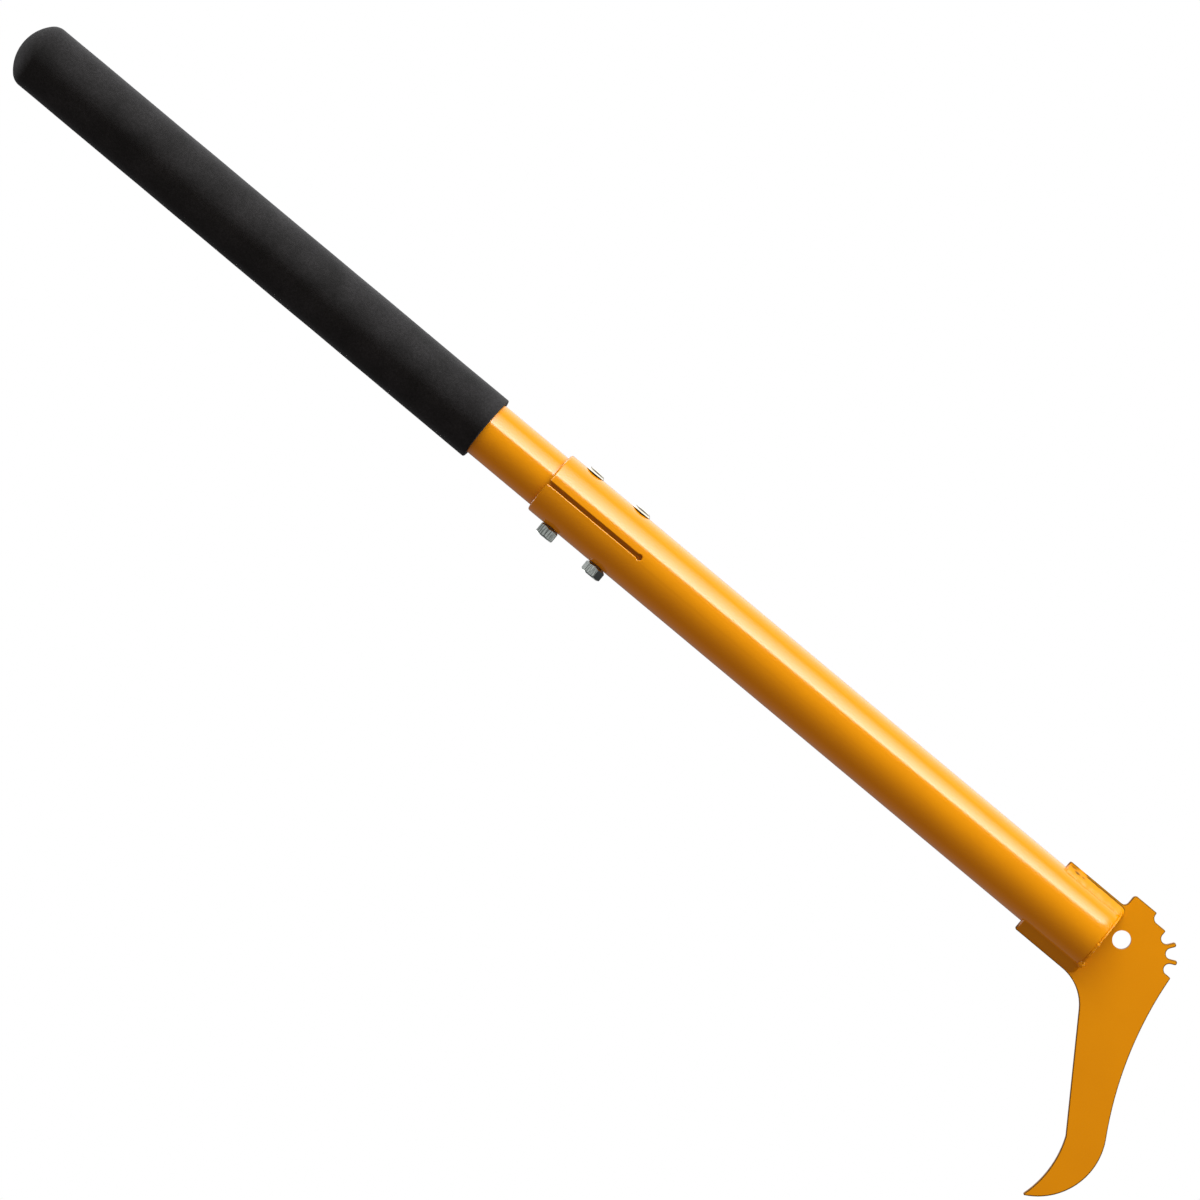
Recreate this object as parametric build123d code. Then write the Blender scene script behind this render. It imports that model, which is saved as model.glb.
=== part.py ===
from build123d import *
import os
from math import acos, asin, atan2, cos, degrees, hypot, radians, sin, sqrt, tan

# Hookaroon: a two-section tube handle with a slit, bolted clamp, a foam grip and a welded hook plate.
# Millimetres. X runs along the handle towards the hook, Y away from the hook's point, Z square to the plate.
# The pieces are drawn with X = 0 at the lower tube's front end and Y = Z = 0 on the handle's axis, and
# are then moved so that the origin is the centre of the hanging hole.

# Handle tubes
upper_od = 30.0            # inner tube, which carries the grip
upper_wall = 2.0
slide_clearance = 0.2      # all round, between the two tubes
lower_wall = 2.3
lower_length = 357.0
clamp_rim_r = 1.2          # rounded outer edge at the clamp end
front_rim_r = 1.5          # rounded outer edge at the hook end
bare_length = 41.5         # upper tube showing between the grip and the clamp
end_cover = 20.0           # upper tube left in front of its guide slot

# Clamp
clamp_travel = 80.0        # how far the upper tube draws out of the lower one
slit_width = 2.0
slit_length = 59.0         # clamp end to the relief hole's centre
slit_hole_d = 3.0
slit_mouth_r = 1.5         # rounded jaw corners at the slit's mouth
slit_edge_r = 0.5          # rounded outer edges of the slit and its relief hole
bolt_from_end = 15.0
bolt_spacing = 30.0

# Clamp bolts and nuts, M6
bolt_d = 6.0
bolt_hole_clearance = 0.3  # all round, in the lower tube's holes and the upper tube's guide slot
head_d = 10.7
head_h = 2.1
head_edge_h = 0.1          # straight rim below the head's dome
head_round_r = 3.5         # arc of the dome's section
socket_af = 4.0
socket_depth = 1.6
nut_af = 10.0
nut_h = 5.7
nut_face_d = 8.9           # round bearing face left by the nut's chamfer
nut_chamfer_deg = 30.0
nut_turn_deg = {"rear": 27.0, "front": 7.0}   # how the nuts are left turned
thread_clearance = 0.05    # all round, bolt in nut
bolt_tip_chamfer = 0.6
seat_gap = 0.05            # hairline where a piece sits on a round tube

# Foam grip
grip_length = 303.0
grip_wall = 3.0
grip_dome = 12.0           # length of the domed end
grip_shoulder_r = 8.0      # rounding between the dome's cap and the grip's side
grip_end_wall = 7.0        # foam behind the upper tube's end
grip_edge_r = 0.8
grip_clearance = 0.1       # all round, on the upper tube

# Hook plate and its tang
plate_t = 6.0
plate_edge_r = 0.6
tang_length = 36.2         # inside the lower tube's slots
tang_proud_spine = 3.8     # beyond the tube's outside, on the side away from the point
tang_proud_throat = 4.9
tang_corner_r = 1.0
tang_slot_gap = 0.1
hole_d = 9.5
hole_from_tube = 8.2       # tube end to the hole's centre
hole_from_edge = 21.5      # ear's edge to the hole's centre
ear_rise = 7.6             # ear above the tang's spine edge
ear_back = 0.9             # ear behind the tube's end
ear_length = 14.0
ear_corner_r = 1.8
ear_root_r = 2.5

# Crown of notches, from the hole's centre
step_drop = 4.1            # first notch's floor below the ear's edge
step_length = 9.1
step_root_r = 3.2
tooth_w = 2.2
tooth_tips = ((22.2, 15.5, 54.0), (28.5, 8.6, 26.5))   # tip's centre and the tooth's lean in degrees
tooth_tip_r = 0.9
notch_r = 2.85
crown_end = (30.8, 0.9)
crown_corner_r = 0.6

# Hook
throat_start = 7.15        # tube end to where the inner edge would meet the tang's edge
throat_r = 24.0
hook_angle_deg = 56.1      # inner edge against the handle
inner_length = 76.2
bend_r = 6.0               # eased corner between the inner edge and the point's hollow
hook_width = 20.1          # at the bend
nose_r = 34.4
nose_setback = 2.9         # nose's centre before the bend, along the inner edge
tip_angle_deg = 63.3       # where the nose's arc ends in the point
tip_r = 0.5
hollow_r = 52.6            # hollow between the bend and the point
back_r = 197.0

# Weld fillets
weld_tube_leg = 4.6        # up the tube from the plate's face
weld_edge_gap = 0.4        # tang edge left bare
weld_bulge = 0.45
weld_past_end = 1.0        # beyond the tube's end

# Cutting shapes
cut_over = 2.0             # how far they run past what they cut

# Worked out from the sizes above
upper_r = upper_od / 2
lower_bore_r = upper_r + slide_clearance
lower_r = lower_bore_r + lower_wall
grip_bore_r = upper_r + grip_clearance
grip_r = upper_r + grip_wall
bolt_r = bolt_d / 2
bolt_hole_r = bolt_r + bolt_hole_clearance
nut_bore_r = bolt_r + thread_clearance
clamp_seat = lower_r + seat_gap
bolt_length = 2 * clamp_seat + nut_h
clamp_x = -lower_length
bolt_x = {"rear": clamp_x + bolt_from_end, "front": clamp_x + bolt_from_end + bolt_spacing}
grip_front_x = clamp_x - bare_length
grip_back_x = grip_front_x - grip_length
upper_back_x = grip_back_x + grip_end_wall
slot_back_x = bolt_x["rear"] - bolt_hole_r
slot_front_x = bolt_x["front"] + clamp_travel + bolt_hole_r
upper_front_x = slot_front_x + end_cover
half_t = plate_t / 2
tang_spine = lower_r + tang_proud_spine
tang_throat = -(lower_r + tang_proud_throat)
ear_y = tang_spine + ear_rise
hole_x = hole_from_tube
hole_y = ear_y - hole_from_edge


def bar(radius, x_start, x_end):
    """A round bar along the handle."""
    turned = Cylinder(radius, x_end - x_start, rotation=(0, 90, 0),
                      align=(Align.CENTER, Align.CENTER, Align.MIN))
    return Pos(x_start, 0, 0) * turned


def cross_hole(radius, x):
    """A round cutter right through both walls of the handle, along Y."""
    return Pos(x, 0, 0) * Cylinder(radius, 2 * (lower_r + cut_over), rotation=(90, 0, 0))


def slit_cutter():
    """The clamp's slit with its relief hole and its rounded mouth, through both walls along Z."""
    run = slit_length + cut_over
    shape = Pos(clamp_x - cut_over + run / 2, 0) * Rectangle(run, slit_width)
    shape += Pos(clamp_x + slit_length, 0) * Circle(slit_hole_d / 2)
    mouth_half = slit_width / 2 + slit_mouth_r
    mouth = Pos(clamp_x + slit_mouth_r / 2, 0) * Rectangle(slit_mouth_r, 2 * mouth_half)
    for side in (-1, 1):
        mouth -= Pos(clamp_x + slit_mouth_r, side * mouth_half) * Circle(slit_mouth_r)
    return extrude(shape + mouth, lower_r + cut_over, both=True)


def edge_flare(half_width):
    """Section of a cutter that opens from a half width to round edges at the tube's outside."""
    wide = half_width + slit_edge_r
    base = sqrt(lower_r ** 2 - wide ** 2) - slit_edge_r
    tall = slit_edge_r + cut_over
    shape = Pos(0, base + tall / 2) * Rectangle(2 * wide, tall)
    for side in (-1, 1):
        shape -= Pos(side * wide, base) * Circle(slit_edge_r)
    return shape


def slit_easing():
    """Cutter that rounds the slit's outer edges and those of its relief hole, on both walls."""
    groove = extrude(Plane.YZ * edge_flare(slit_width / 2), slit_length + cut_over)
    right_half = Pos(lower_r, 0) * Rectangle(2 * lower_r, 4 * lower_r)
    ring = revolve(Plane.XZ * (edge_flare(slit_hole_d / 2) & right_half), Axis.Z)
    easing = Pos(clamp_x - cut_over, 0, 0) * groove + Pos(clamp_x + slit_length, 0, 0) * ring
    return easing + mirror(easing, Plane.XY)


def make_lower_tube():
    """Outer tube: bored, slit at the clamp end, cross-drilled, and slotted for the tang."""
    tube = bar(lower_r, clamp_x, 0)
    rims = tube.edges().filter_by(GeomType.CIRCLE).sort_by(Axis.X)
    tube = fillet(rims[:1], clamp_rim_r)
    rims = tube.edges().filter_by(GeomType.CIRCLE).sort_by(Axis.X)
    tube = fillet(rims[-1:], front_rim_r)
    tube -= bar(lower_bore_r, clamp_x - cut_over, cut_over)
    tube -= slit_cutter()
    tube -= slit_easing()
    for x in bolt_x.values():
        tube -= cross_hole(bolt_hole_r, x)
    slot_run = tang_length + tang_slot_gap + cut_over
    slot = Box(slot_run, 2 * (lower_r + cut_over), plate_t + 2 * tang_slot_gap)
    return tube - Pos(cut_over - slot_run / 2, 0, 0) * slot


def make_upper_tube():
    """Inner tube with a long guide slot through both walls, which the clamp bolts cross."""
    tube = bar(upper_r, upper_back_x, upper_front_x)
    tube -= bar(upper_r - upper_wall, upper_back_x - cut_over, upper_front_x + cut_over)
    span = slot_front_x - slot_back_x
    slot = extrude(SlotOverall(span, 2 * bolt_hole_r), lower_r, both=True)
    return tube - Pos((slot_front_x + slot_back_x) / 2, 0, 0) * Rot(90, 0, 0) * slot


def make_foam_grip():
    """Closed foam sleeve turned about the handle: a dome at the back, an eased edge at the front.

    The dome's cap is an arc centred on the axis, and its shoulder is an arc that touches cap and side.
    """
    dome_x = grip_back_x + grip_dome
    rise = grip_r - grip_shoulder_r
    cap_r = (grip_dome ** 2 + rise ** 2 - grip_shoulder_r ** 2) / (2 * (grip_dome - grip_shoulder_r))
    cap_turn = degrees(atan2(rise, cap_r - grip_dome))
    cap = CenterArc((grip_back_x + cap_r, 0), cap_r, 180, -cap_turn)
    shoulder = CenterArc((dome_x, rise), grip_shoulder_r, 180 - cap_turn, cap_turn - 90)
    side = Polyline((dome_x, grip_r), (grip_front_x, grip_r), (grip_front_x, 0), (grip_back_x, 0))
    body = revolve(make_face([cap, shoulder, *side.edges()]), Axis.X)
    rims = body.edges().filter_by(GeomType.CIRCLE).sort_by(Axis.X)
    body = fillet(rims[-1:], grip_edge_r)
    return body - bar(grip_bore_r, upper_back_x, grip_front_x + cut_over)


def make_bolt(x):
    """Low round-head bolt with a hex socket, its head on the +Y side.

    The head's dome is an arc from its rim that runs level into the flat top.
    """
    head_r = head_d / 2
    sunk = head_round_r - head_h
    rim_lean = asin((sunk + head_edge_h) / head_round_r)
    top_r = head_r - head_round_r * cos(rim_lean)
    end_r = bolt_r - bolt_tip_chamfer
    flank = Polyline((0, head_h), (0, -bolt_length), (end_r, -bolt_length),
                     (bolt_r, bolt_tip_chamfer - bolt_length), (bolt_r, 0), (head_r, 0), (head_r, head_edge_h))
    dome = CenterArc((top_r, -sunk), head_round_r, degrees(rim_lean), 90 - degrees(rim_lean))
    top = Line((top_r, head_h), (0, head_h))
    body = revolve(Plane.XZ * make_face([*flank.edges(), dome, top]), Axis.Z)
    socket = extrude(RegularPolygon(socket_af / 2, 6, major_radius=False), -socket_depth)
    body -= Pos(0, 0, head_h) * socket
    return Pos(x, clamp_seat, 0) * Rot(-90, 0, 0) * body


def make_nut(x, turn_deg):
    """Hex nut chamfered at both ends, on the -Y side of the clamp."""
    outer = nut_af / sqrt(3) + cut_over
    drop = (outer - nut_face_d / 2) * tan(radians(nut_chamfer_deg))
    turned = Polyline((0, 0), (nut_face_d / 2, 0), (outer, drop), (outer, nut_h - drop),
                      (nut_face_d / 2, nut_h), (0, nut_h), close=True)
    blank = revolve(Plane.XZ * make_face(turned.edges()), Axis.Z)
    prism = extrude(RegularPolygon(nut_af / 2, 6, major_radius=False, rotation=turn_deg), nut_h)
    body = (prism & blank) - Cylinder(nut_bore_r, 2 * (nut_h + cut_over))
    return Pos(x, -clamp_seat, 0) * Rot(90, 0, 0) * body


def meet(point_a, lean_a, point_b, lean_b):
    """Where two lines cross, each given by a point and its lean in degrees."""
    ax, ay = cos(radians(lean_a)), sin(radians(lean_a))
    bx, by = cos(radians(lean_b)), sin(radians(lean_b))
    dx, dy = point_b[0] - point_a[0], point_b[1] - point_a[1]
    run = (dx * by - dy * bx) / (ax * by - ay * bx)
    return (point_a[0] + run * ax, point_a[1] + run * ay)


def crown_corners():
    """Corners of the crown from the ear to the hook's back, each with its rounding."""
    ear_end_x = ear_length - ear_back
    step_x = ear_end_x + step_length
    floor_y = ear_y - step_drop
    end = (hole_x + crown_end[0], hole_y + crown_end[1])
    corners = [((ear_end_x, ear_y), crown_corner_r), ((ear_end_x, floor_y), step_root_r),
               ((step_x, floor_y), crown_corner_r)]
    wall, wall_lean = (step_x, floor_y), 90.0
    for tip_x, tip_y, lean in tooth_tips:
        side_x = -sin(radians(lean)) * tooth_w / 2
        side_y = cos(radians(lean)) * tooth_w / 2
        near = (hole_x + tip_x + side_x, hole_y + tip_y + side_y)
        far = (hole_x + tip_x - side_x, hole_y + tip_y - side_y)
        corners += [(meet(wall, wall_lean, near, lean), notch_r), (near, tooth_tip_r), (far, tooth_tip_r)]
        wall, wall_lean = far, lean
    corners += [(meet(wall, wall_lean, end, 0.0), notch_r), (end, crown_corner_r)]
    return corners


def hook_points():
    """Where the inner edge starts and ends, the centre of the nose's arc, and the hook's point."""
    along = (cos(radians(hook_angle_deg)), -sin(radians(hook_angle_deg)))
    across = (-along[1], along[0])
    throat = (throat_start, tang_throat)
    bend = (throat[0] + inner_length * along[0], throat[1] + inner_length * along[1])
    inset = hook_width - nose_r
    nose = (bend[0] - nose_setback * along[0] + inset * across[0],
            bend[1] - nose_setback * along[1] + inset * across[1])
    tip = (nose[0] + nose_r * cos(radians(tip_angle_deg)), nose[1] - nose_r * sin(radians(tip_angle_deg)))
    return throat, bend, nose, tip


def back_arc(start, nose):
    """Hollow arc of the hook's back from the crown, touching the nose's circle: middle and end point."""
    dx, dy = start[0] - nose[0], start[1] - nose[1]
    gap = hypot(dx, dy)
    reach = back_r + nose_r
    turn = acos((gap ** 2 + reach ** 2 - back_r ** 2) / (2 * gap * reach))
    lean = atan2(dy, dx) - turn
    centre = (nose[0] + reach * cos(lean), nose[1] + reach * sin(lean))
    touch = (nose[0] + nose_r * cos(lean), nose[1] + nose_r * sin(lean))
    mid_x = (start[0] + touch[0]) / 2 - centre[0]
    mid_y = (start[1] + touch[1]) / 2 - centre[1]
    grow = back_r / hypot(mid_x, mid_y)
    return (centre[0] + grow * mid_x, centre[1] + grow * mid_y), touch


def make_hook_plate():
    """Flat hook: tang, ear, notched crown, hollow back, round nose and hollow point, with eased edges."""
    crown = crown_corners()
    throat, bend, nose, tip = hook_points()
    back_mid, touch = back_arc(crown[-1][0], nose)
    nose_lean = (atan2(touch[1] - nose[1], touch[0] - nose[0]) - radians(tip_angle_deg)) / 2
    nose_mid = (nose[0] + nose_r * cos(nose_lean), nose[1] + nose_r * sin(nose_lean))
    tang = [(throat, throat_r), ((-tang_length, tang_throat), tang_corner_r),
            ((-tang_length, tang_spine), tang_corner_r), ((-ear_back, tang_spine), ear_root_r),
            ((-ear_back, ear_y), ear_corner_r)]
    corners = tang + crown
    straight = Polyline(bend, *[corner for corner, _ in corners])
    back = ThreePointArc(crown[-1][0], back_mid, touch)
    nose_arc = ThreePointArc(touch, nose_mid, tip)
    hollow = RadiusArc(tip, bend, -hollow_r)
    outline = make_face([*straight.edges(), back, nose_arc, hollow])
    for corner, radius in corners + [(bend, bend_r), (tip, tip_r)]:
        outline = fillet(outline.vertices().sort_by_distance(corner)[:1], radius)
    plate = extrude(outline, half_t, both=True)
    faces = plate.faces().filter_by(Axis.Z)
    plate = fillet(faces.edges(), plate_edge_r)
    return plate - Pos(hole_x, hole_y, 0) * Cylinder(hole_d / 2, plate_t + 2 * cut_over)


def make_weld(side, face):
    """One fillet of weld between the tube's outside and the tang's face; side and face are +1 or -1."""
    edge_y = (tang_spine if side > 0 else -tang_throat) - weld_edge_gap
    foot_z = half_t
    head_z = half_t + weld_tube_leg
    head_y = sqrt(lower_r ** 2 - head_z ** 2)
    mid_y = (edge_y + head_y) / 2
    mid_z = (foot_z + head_z) / 2
    lean = atan2(edge_y - head_y, head_z - foot_z)
    crown = ThreePointArc((edge_y, foot_z), (mid_y + weld_bulge * cos(lean), mid_z + weld_bulge * sin(lean)),
                          (head_y, head_z))
    inside = Polyline((head_y, head_z), (head_y - lower_wall, head_z), (head_y - lower_wall, foot_z),
                      (edge_y, foot_z))
    run = tang_length + weld_past_end
    section = make_face([crown, *inside.edges()])
    bead = Pos(-tang_length, 0, 0) * extrude(Plane.YZ * section, run)
    bead -= bar(lower_r + seat_gap, -tang_length - cut_over, weld_past_end + cut_over)
    if side < 0:
        bead = mirror(bead, Plane.XZ)
    if face < 0:
        bead = mirror(bead, Plane.XY)
    return bead


pieces = {"lower_tube": make_lower_tube(), "upper_tube": make_upper_tube(), "foam_grip": make_foam_grip(),
          "hook_plate": make_hook_plate()}
for place, x in bolt_x.items():
    pieces["clamp_bolt_" + place] = make_bolt(x)
    pieces["clamp_nut_" + place] = make_nut(x, nut_turn_deg[place])
for edge_name, side in (("spine", 1), ("throat", -1)):
    for face_name, face in (("top", 1), ("bottom", -1)):
        pieces["weld_" + edge_name + "_" + face_name] = make_weld(side, face)

os.makedirs("parts", exist_ok=True)
to_hole = Pos(-hole_x, -hole_y, 0)
for name, piece in pieces.items():
    export_step(to_hole * piece, "parts/" + name + ".step")
print("handle axis y", round(-hole_y, 3), "bolt x", {k: round(x - hole_x, 3) for k, x in bolt_x.items()})
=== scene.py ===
"""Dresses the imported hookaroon: paint, weld beads, foam grip, clamp fasteners and a plain white studio."""

import bpy
import numpy as np
from mathutils import Matrix, Vector


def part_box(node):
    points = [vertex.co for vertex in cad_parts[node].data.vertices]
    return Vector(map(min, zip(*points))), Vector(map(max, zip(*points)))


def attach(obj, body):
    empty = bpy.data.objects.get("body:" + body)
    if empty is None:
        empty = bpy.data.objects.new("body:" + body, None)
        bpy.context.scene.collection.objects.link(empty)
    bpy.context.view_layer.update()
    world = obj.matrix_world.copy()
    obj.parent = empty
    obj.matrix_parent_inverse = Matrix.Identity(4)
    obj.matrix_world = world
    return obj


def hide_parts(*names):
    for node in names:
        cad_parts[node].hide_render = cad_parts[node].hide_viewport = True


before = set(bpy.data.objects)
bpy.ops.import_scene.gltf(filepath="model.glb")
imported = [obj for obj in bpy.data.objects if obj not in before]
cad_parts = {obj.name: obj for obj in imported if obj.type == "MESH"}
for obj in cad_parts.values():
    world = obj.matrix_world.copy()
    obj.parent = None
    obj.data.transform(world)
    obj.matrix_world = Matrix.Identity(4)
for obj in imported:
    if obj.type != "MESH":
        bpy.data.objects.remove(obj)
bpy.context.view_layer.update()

bl_info = {
    "name": "Hookaroon",
    "version": (1, 0, 0),
    "blender": (4, 5, 0),
    "location": "3D View > Sidebar > Hookaroon",
    "description": "Finishes and studio for a log hook with a telescoping handle",
    "category": "Object",
}

MM = 0.001
TURN = 2 * np.pi

# Sockets of a Mix node that mixes colours: its two inputs and its output
COLOUR_A, COLOUR_B, MIXED = 6, 7, 2

# Sizes read from the frame, in metres
lower_lo, lower_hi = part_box("lower_tube")
upper_lo, upper_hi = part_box("upper_tube")
grip_lo, grip_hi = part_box("foam_grip")
plate_lo, plate_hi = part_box("hook_plate")
axis_y = (lower_lo.y + lower_hi.y) / 2
lower_r = (lower_hi.z - lower_lo.z) / 2
upper_r = (upper_hi.z - upper_lo.z) / 2
grip_r = (grip_hi.z - grip_lo.z) / 2
half_plate = plate_hi.z
bolt_boxes = [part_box("clamp_bolt_" + place) for place in ("rear", "front")]
bolt_places = [(lo.x + hi.x) / 2 for lo, hi in bolt_boxes]
clamp_x = sum(bolt_places) / 2
head_r = (bolt_boxes[0][1].x - bolt_boxes[0][0].x) / 2


def linear(code):
    """Linear colour from an sRGB hex code: each channel through the standard's two-part curve."""
    srgb = np.array([int(code[i:i + 2], 16) for i in (0, 2, 4)]) / 255
    curved = ((srgb + 0.055) / 1.055) ** 2.4
    return tuple(float(v) for v in np.where(srgb <= 0.04045, srgb / 12.92, curved))


def length(name, words, default_mm):
    """A length property, given in millimetres."""
    return bpy.props.FloatProperty(name=name, description=words, default=default_mm * MM, unit="LENGTH")


def paint(name, words, code):
    """A colour property, given as a hex code."""
    return bpy.props.FloatVectorProperty(name=name, description=words, default=linear(code), subtype="COLOR",
                                         size=3, min=0, max=1)


class GripSizes(bpy.types.PropertyGroup):
    """Sizes of the foam grip."""
    dome: length("Dome", "Length of the domed end", 12)
    shoulder: length("Shoulder", "Rounding between the dome's cap and the side", 8)
    edge: length("Front edge", "Rounding of the front edge", 0.8)
    mouth: length("Mouth edge", "Rounding where the bore opens", 0.4)
    play: length("Play", "Gap between the foam and the tube", 0.1)
    end_wall: length("End wall", "Foam behind the tube's end", 7)
    swell: length("Swell", "How far the foam's side strays from a true round", 0.07)


class WeldSizes(bpy.types.PropertyGroup):
    """Sizes of the weld beads."""
    leg: length("Leg", "How far the bead climbs the tube", 4.6)
    crown: length("Crown", "How far the bead's face stands out", 0.45)
    ripple_pitch: length("Ripple pitch", "Spacing of the frozen ripples", 2.3)
    ripple: length("Ripple", "Height of the frozen ripples", 0.012)
    lump: length("Lump", "Height of the uneven lumps", 0.22)
    wander: length("Wander", "How far the toes stray from a straight line", 0.25)
    inset: length("Inset", "How far the tang toe stops short of its line", 0.3)
    sink: length("Sink", "How deep the bead's root sits in tube and plate", 1.6)
    spatter: length("Spatter", "Size of the weld spatter on the tube's rim", 0.95)
    lip: length("Lip", "Thickness of the lip on the tube's front rim", 0.5)
    lip_inset: length("Lip inset", "How far the lip's middle lies inside the tube's outside", 0.3)
    rear_ease: length("Rear ease", "Length over which a bead's rear end rounds off", 1.6)
    front_ease: length("Front ease", "Length over which a bead's front end rounds off", 3.4)


class NutSizes(bpy.types.PropertyGroup):
    """Sizes of the hex nuts."""
    face: length("Face", "Radius of the round face left by the chamfer", 4.45)
    soften: length("Soften", "Rounding of the edges", 0.12)
    mouth: length("Mouth", "Countersink where the thread starts", 0.35)


class Finishes(bpy.types.PropertyGroup):
    """Colours of the finishes."""
    coat: paint("Powder coat", "Orange-yellow gloss coat", "E79A07")
    coat_thick: paint("Thick coat", "The coat where it lies thicker", "E09305")
    # Darker line on the plate's rims: partly the coat drawn thin over the edges, partly painted shade
    coat_edge_shade: paint("Thin coat", "The coat where it draws thin over sharp edges", "77560F")
    # Painted shade in the walls of the slit and its hole, and on the tube under the bolt heads and nuts
    coat_cut_shade: paint("Cut coat", "The coat in narrow cuts, where little powder reaches", "8A4A05")
    # Painted shade in the weld's pits, along its tang toe and over the throat beads, which lie in the tube's
    # shadow
    coat_pit_shade: paint("Pit coat", "The coat in the weld's pits and along its toes", "403008")
    foam: paint("Foam", "Black foam", "252629")
    foam_pore: paint("Foam pores", "Shaded pores of the foam", "1A1B1D")
    zinc: paint("Zinc", "Bright zinc plate", "D4DAD8")
    zinc_cloud: paint("Zinc clouding", "Duller passivated patches", "B9C3C2")
    # Darker copy of the zinc for the bolts: painted shade that greys their heads against the nuts
    zinc_shaded: paint("Dull zinc", "Aged zinc plate of the bolts", "ABA79C")
    zinc_shaded_cloud: paint("Dull zinc clouding", "Darker patches on the bolts", "94908A")
    floor: paint("Floor", "Plain white floor", "FFFFFF")
    fill: paint("Fill", "Warm fill light of the studio", "FFDDB3")
    lamp: paint("Lamp", "Light of the studio lamps", "FFFDF8")
    foam_lamp: paint("Foam lamp", "Light on the foam from the lamps' side", "FFF9F0")
    foam_fill: paint("Foam fill", "Light on the foam from the far side", "C6DAFF")


class HookaroonSettings(bpy.types.PropertyGroup):
    """Everything that a user would change."""
    grip: bpy.props.PointerProperty(type=GripSizes, name="Grip")
    weld: bpy.props.PointerProperty(type=WeldSizes, name="Weld")
    nut: bpy.props.PointerProperty(type=NutSizes, name="Nut")
    finish: bpy.props.PointerProperty(type=Finishes, name="Finish")


def add(tree, kind, inputs=(), **settings):
    """Adds one shader node with its settings, and sets its inputs or links them.

    An input is linked where its value is a socket or a node, which stands for its first output.
    """
    made = tree.nodes.new("ShaderNode" + kind)
    for key, value in settings.items():
        setattr(made, key, value)
    for key, value in dict(inputs).items():
        if isinstance(value, bpy.types.Node):
            value = value.outputs[0]
        if isinstance(value, bpy.types.NodeSocket):
            tree.links.new(value, made.inputs[key])
        else:
            made.inputs[key].default_value = value
    return made


def rgba(colour):
    """Colour with full alpha."""
    return (*colour, 1.0)


def per_m(size_mm):
    """Texture scale whose features are about this many millimetres wide."""
    return 1 / (size_mm * MM)


def blank_material(name):
    """New material and its node tree, emptied."""
    made = bpy.data.materials.new(name)
    made.use_nodes = True
    made.node_tree.nodes.clear()
    return made, made.node_tree


def new_object(name, data):
    """New object in the scene."""
    made = bpy.data.objects.new(name, data)
    bpy.context.scene.collection.objects.link(made)
    return made


def write_skin(name, shells, body):
    """One mesh from closed shells, each a stack of rings, riding on a body.

    Faces run from ring to ring. With two end points the stack is drawn together at them, and without them
    its last ring joins its first. A shell whose signed volume comes out negative has its faces turned over,
    so every face points outwards. The third item of a shell is how much painted shade darkens the coat at
    each ring point.
    """
    vertices, faces, thin, base = [], [], [], 0
    for rings, ends, shade_level in shells:
        count, around = rings.shape[:2]
        points = rings.reshape(-1, 3)
        rows = np.arange(count if ends is None else count - 1)[:, None]
        step = np.arange(around)
        follow = (step + 1) % around
        this = rows * around
        other = (rows + 1) % count * around
        quads = np.stack([this + step, this + follow, other + follow, other + step], -1).reshape(-1, 4)
        fans = np.empty((0, 3), int)
        shade_level = np.broadcast_to(shade_level, (count, around)).reshape(-1)
        if ends is not None:
            first_pole, last_pole = (np.full(around, len(points) + k) for k in range(2))
            last = (count - 1) * around
            fans = np.vstack([np.stack([follow, step, first_pole], -1),
                              np.stack([last + step, last + follow, last_pole], -1)])
            points = np.vstack([points, ends])
            shade_level = np.concatenate([shade_level, [0, 0]])
        tris = np.vstack([quads[:, [0, 1, 2]], quads[:, [0, 2, 3]], fans])
        a, b, c = (points[tris[:, i]] - points.mean(0) for i in range(3))
        if np.einsum("ij,ij->i", a, np.cross(b, c)).sum() < 0:
            quads, fans = quads[:, ::-1], fans[:, ::-1]
        vertices.append(points)
        thin.append(shade_level)
        faces += (quads + base).tolist() + (fans + base).tolist()
        base += len(points)
    mesh = bpy.data.meshes.new(name)
    mesh.from_pydata(np.vstack(vertices), [], faces)
    mesh.shade_smooth()
    # Stored level of painted shade, which darkens the weld's coat in its pits and along its toes
    mesh.attributes.new("painted_shade", "FLOAT", "POINT").data.foreach_set("value", np.concatenate(thin))
    made = new_object(name, mesh)
    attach(made, body)
    return made


def arc(centre_x, centre_r, radius, from_deg, to_deg, count):
    """Points of an arc in the profile plane, angles from +X towards outwards, the first point left out."""
    angle = np.radians(np.linspace(from_deg, to_deg, count + 1)[1:])
    return np.stack([centre_x + radius * np.cos(angle), centre_r + radius * np.sin(angle)], -1)


def run(x_from, r_from, x_to, r_to, count):
    """Evenly spaced points of a straight run in the profile plane, the first point left out."""
    share = np.linspace(0, 1, count + 1)[1:, None]
    return (1 - share) * np.array([x_from, r_from]) + share * np.array([x_to, r_to])


def quarter_ellipse(share):
    """Height of a quarter of an ellipse, from nearly 0 to 1, by the share of its length from 0 to 1."""
    return np.sqrt(np.clip(1 - (1 - np.clip(share, 0, 1)) ** 2, 1e-4, 1))


def bell(along, across, spread_along, spread_across):
    """Bell shape: the exponential of minus the squares of both distances, each over its own spread."""
    return np.exp(-((along / spread_along) ** 2 + (across / spread_across) ** 2))


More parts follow.
